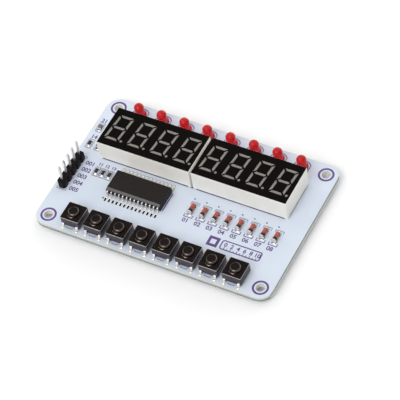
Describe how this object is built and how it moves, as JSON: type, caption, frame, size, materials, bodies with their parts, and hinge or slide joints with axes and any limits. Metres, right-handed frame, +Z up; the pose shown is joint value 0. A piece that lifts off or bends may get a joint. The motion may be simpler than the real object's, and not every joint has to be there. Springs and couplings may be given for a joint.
{
  "type": "numeric display and keypad board",
  "caption": "Circuit board with seven-segment display modules, a row of round red LEDs, push keys, a driver chip and a pin header.",
  "frame": {"origin": "under the middle of the board outline, on the surface that the trimmed lead ends stand on", "axes": "+X along the long side of the board, towards the end away from the header; +Y from the keys towards the round LEDs; +Z up through the board"},
  "size_m": [0.076, 0.05, 0.0114],
  "materials": {
    "solder_mask": "satin solder mask over glass epoxy",
    "header_plastic": "matte moulding",
    "tinned_metal": "bright tin plate",
    "display_case": "satin moulding with a gloss black printed face",
    "segment_epoxy": "frosted epoxy, unlit",
    "display_circuit": "bare glass epoxy",
    "chip_body": "moulded epoxy",
    "key_body": "satin moulding",
    "key_cover": "gloss black plate with bright cut edges",
    "key_button": "gloss moulding",
    "led_lens": "tinted diffused epoxy",
    "diode_glass": "clear glass over orange",
    "resistor_body": "glazed ceramic",
    "capacitor_body": "fired ceramic",
    "board_edge": "routed edge of the glass epoxy",
    "screen_print": "thin printed ink",
    "solder": "bright solder fillets",
    "display_face": "gloss black printed face",
    "diode_band": "black printed band"
  },
  "bodies": {
    "board": {"circuit_board": "solder_mask", "header_insulator": "header_plastic", "header_pin_1": "tinned_metal", "header_pin_2": "tinned_metal", "header_pin_3": "tinned_metal", "header_pin_4": "tinned_metal", "header_pin_5": "tinned_metal", "display_left_case": "display_case", "display_left_light_pipes": "segment_epoxy", "display_left_circuit": "display_circuit", "display_right_case": "display_case", "display_right_light_pipes": "segment_epoxy", "display_right_circuit": "display_circuit", "driver_chip": "chip_body", "key_1_base": "key_body", "key_1_cover": "key_cover", "key_2_base": "key_body", "key_2_cover": "key_cover", "key_3_base": "key_body", "key_3_cover": "key_cover", "key_4_base": "key_body", "key_4_cover": "key_cover", "key_5_base": "key_body", "key_5_cover": "key_cover", "key_6_base": "key_body", "key_6_cover": "key_cover", "key_7_base": "key_body", "key_7_cover": "key_cover", "key_8_base": "key_body", "key_8_cover": "key_cover", "led_1": "led_lens", "led_2": "led_lens", "led_3": "led_lens", "led_4": "led_lens", "led_5": "led_lens", "led_6": "led_lens", "led_7": "led_lens", "led_8": "led_lens", "diode_1": "diode_glass", "diode_2": "diode_glass", "diode_3": "diode_glass", "diode_4": "diode_glass", "diode_5": "diode_glass", "diode_6": "diode_glass", "diode_7": "diode_glass", "diode_8": "diode_glass", "resistor_1": "resistor_body", "resistor_2": "resistor_body", "resistor_3": "resistor_body", "resistor_4": "resistor_body", "capacitor_1": "capacitor_body", "capacitor_2": "capacitor_body"},
    "button_1": {"key_1_button": "key_button"},
    "button_2": {"key_2_button": "key_button"},
    "button_3": {"key_3_button": "key_button"},
    "button_4": {"key_4_button": "key_button"},
    "button_5": {"key_5_button": "key_button"},
    "button_6": {"key_6_button": "key_button"},
    "button_7": {"key_7_button": "key_button"},
    "button_8": {"key_8_button": "key_button"}
  },
  "joints": [
    {"name": "key_1_press", "type": "slide", "parent": "board", "child": "button_1", "axis": [0, 0, -1], "range_m": [0, 0.00025], "stiffness_N_per_m": 6400},
    {"name": "key_2_press", "type": "slide", "parent": "board", "child": "button_2", "axis": [0, 0, -1], "range_m": [0, 0.00025], "stiffness_N_per_m": 6400},
    {"name": "key_3_press", "type": "slide", "parent": "board", "child": "button_3", "axis": [0, 0, -1], "range_m": [0, 0.00025], "stiffness_N_per_m": 6400},
    {"name": "key_4_press", "type": "slide", "parent": "board", "child": "button_4", "axis": [0, 0, -1], "range_m": [0, 0.00025], "stiffness_N_per_m": 6400},
    {"name": "key_5_press", "type": "slide", "parent": "board", "child": "button_5", "axis": [0, 0, -1], "range_m": [0, 0.00025], "stiffness_N_per_m": 6400},
    {"name": "key_6_press", "type": "slide", "parent": "board", "child": "button_6", "axis": [0, 0, -1], "range_m": [0, 0.00025], "stiffness_N_per_m": 6400},
    {"name": "key_7_press", "type": "slide", "parent": "board", "child": "button_7", "axis": [0, 0, -1], "range_m": [0, 0.00025], "stiffness_N_per_m": 6400},
    {"name": "key_8_press", "type": "slide", "parent": "board", "child": "button_8", "axis": [0, 0, -1], "range_m": [0, 0.00025], "stiffness_N_per_m": 6400}
  ]
}
